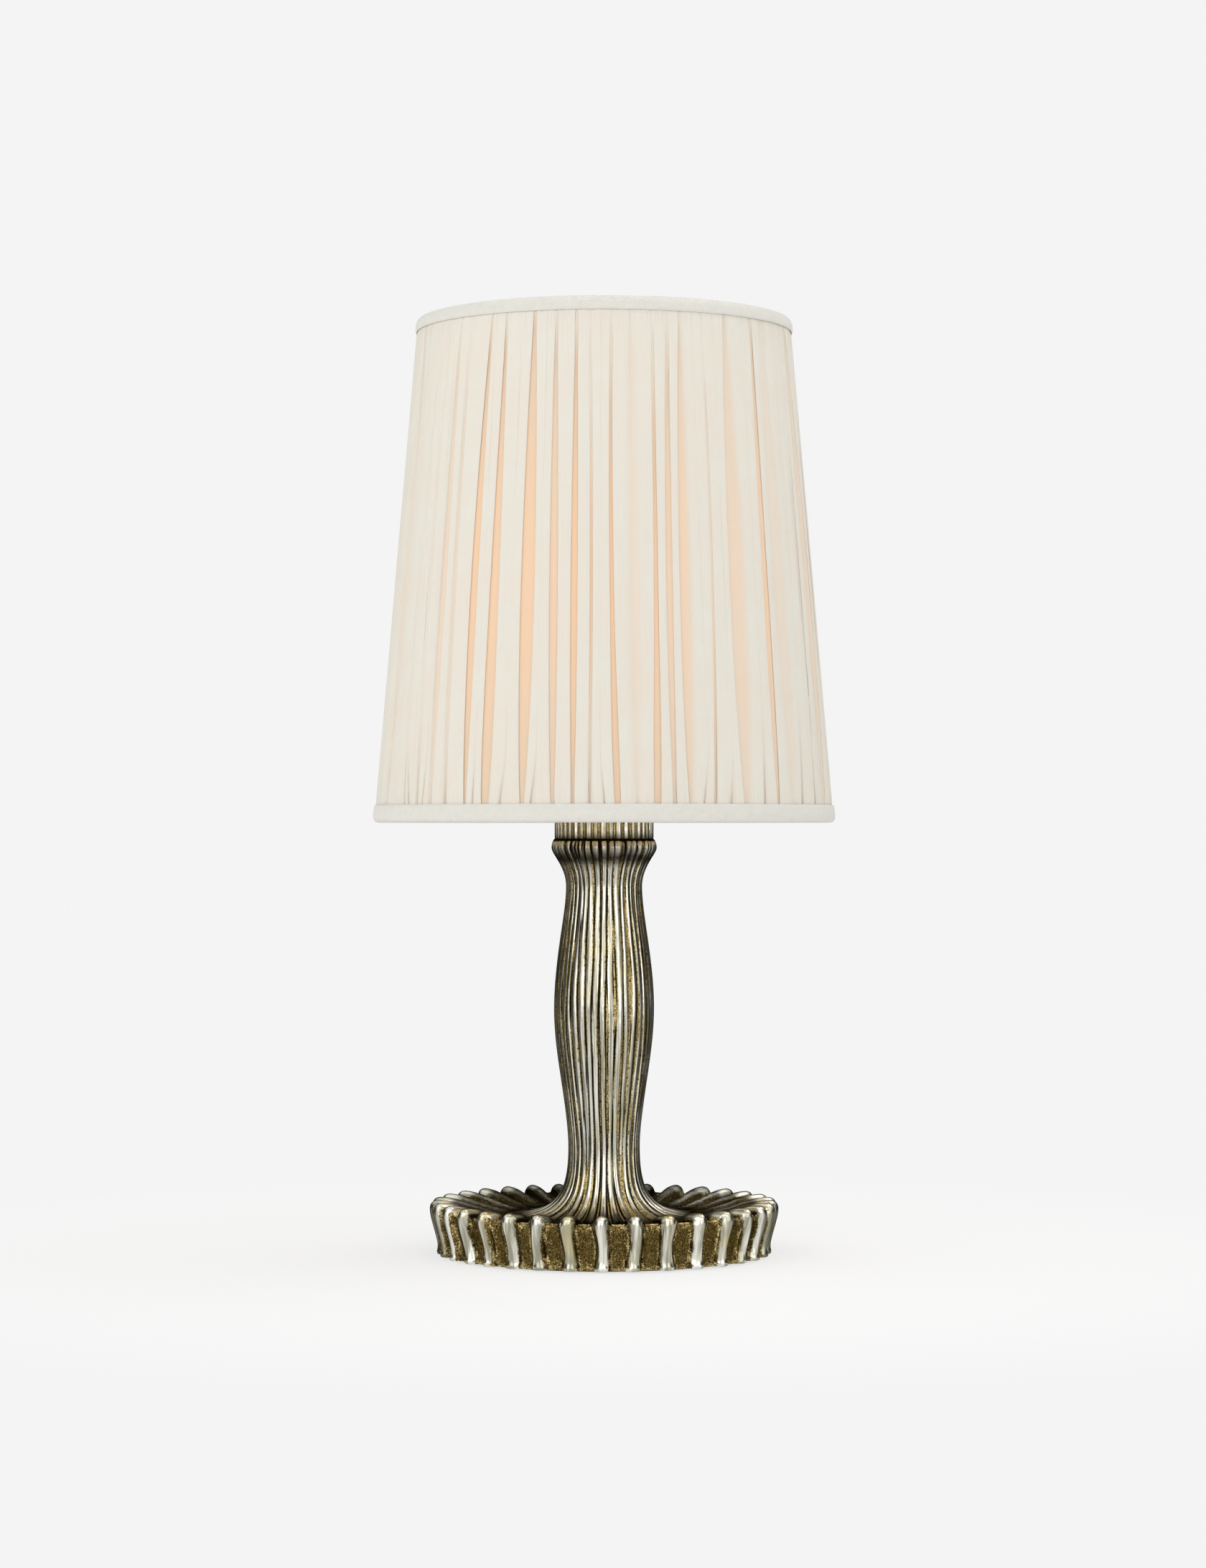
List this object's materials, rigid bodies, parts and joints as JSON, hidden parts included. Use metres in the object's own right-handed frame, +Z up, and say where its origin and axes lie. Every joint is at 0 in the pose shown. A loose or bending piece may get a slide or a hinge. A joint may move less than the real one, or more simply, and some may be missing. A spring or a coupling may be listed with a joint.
{
  "type": "table lamp",
  "caption": "Cordless table lamp with a gathered cloth drum shade on a ribbed metal stem that flows into a shallow ribbed dish base.",
  "frame": {"origin": "middle of the foot, on the surface the lamp stands on", "axes": "+Z up along the stem, -Y towards the front with the dimmer knob, +Y towards the charging port"},
  "size_m": [0.1878, 0.1878, 0.3862],
  "materials": {
    "antique_silver": "silver leaf rubbed back to warm brown in the valleys",
    "antique_brass": "aged satin brass",
    "zinc_steel": "zinc plated",
    "ballast_iron": "raw casting",
    "felt": "felt",
    "circuit_board": "solder mask",
    "black_plastic": "moulded",
    "white_plastic": "moulded",
    "battery_sleeve": "shrunk plastic sleeve",
    "frosted_globe": "frosted",
    "shade_lining": "satin",
    "cream_cloth": "plain linen weave",
    "tape_cloth": "twill tape cut on the bias"
  },
  "bodies": {
    "lamp": {"dish_and_stem": "antique_silver", "neck_cup": "antique_silver", "felt_ring": "felt", "base_plate": "zinc_steel", "base_screw_1": "zinc_steel", "base_screw_2": "zinc_steel", "base_screw_3": "zinc_steel", "ballast_ring": "ballast_iron", "control_board": "circuit_board", "charging_port": "zinc_steel", "battery_cap": "black_plastic", "battery_pack": "battery_sleeve", "stem_lead": "black_plastic", "battery_lead": "black_plastic", "nipple": "zinc_steel", "nipple_nut": "zinc_steel", "harp_saddle": "antique_brass", "socket_cap": "antique_brass", "socket_core": "black_plastic", "socket_sleeve": "antique_brass", "socket_liner": "black_plastic", "screw_shell": "zinc_steel", "centre_contact": "antique_brass", "harp": "antique_brass", "harp_stud": "antique_brass"},
    "dimmer": {"dimmer_knob": "black_plastic"},
    "bulb": {"bulb_cap": "zinc_steel", "bulb_collar": "white_plastic", "led_board": "white_plastic", "bulb_globe": "frosted_globe"},
    "left_lock": {"left_ferrule": "antique_brass"},
    "right_lock": {"right_ferrule": "antique_brass"},
    "shade": {"spider_frame": "zinc_steel", "bottom_ring": "zinc_steel", "shade_lining": "shade_lining", "shade_cover": "cream_cloth", "top_band": "tape_cloth", "bottom_band": "tape_cloth"},
    "finial_nut": {"finial": "antique_silver"}
  },
  "joints": [
    {"name": "dimmer_turn", "type": "hinge", "parent": "lamp", "child": "dimmer", "pos_m": [0, -0.0192, 0.2055], "axis": [0, 1, 0], "range_deg": [0, 270]},
    {"name": "bulb_unscrew", "type": "hinge", "parent": "lamp", "child": "bulb", "pos_m": [0, 0, 0.22], "axis": [0, 0, 1], "range_deg": [0, 1260]},
    {"name": "left_lock_lift", "type": "slide", "parent": "lamp", "child": "left_lock", "axis": [0, 0, 1], "range_m": [0, 0.012]},
    {"name": "right_lock_lift", "type": "slide", "parent": "lamp", "child": "right_lock", "axis": [0, 0, 1], "range_m": [0, 0.012]},
    {"name": "shade_turn", "type": "hinge", "parent": "lamp", "child": "shade", "pos_m": [0, 0, 0.363], "axis": [0, 0, 1], "continuous": true},
    {"name": "finial_unscrew", "type": "hinge", "parent": "lamp", "child": "finial_nut", "pos_m": [0, 0, 0.37], "axis": [0, 0, 1], "range_deg": [0, 2160]}
  ]
}
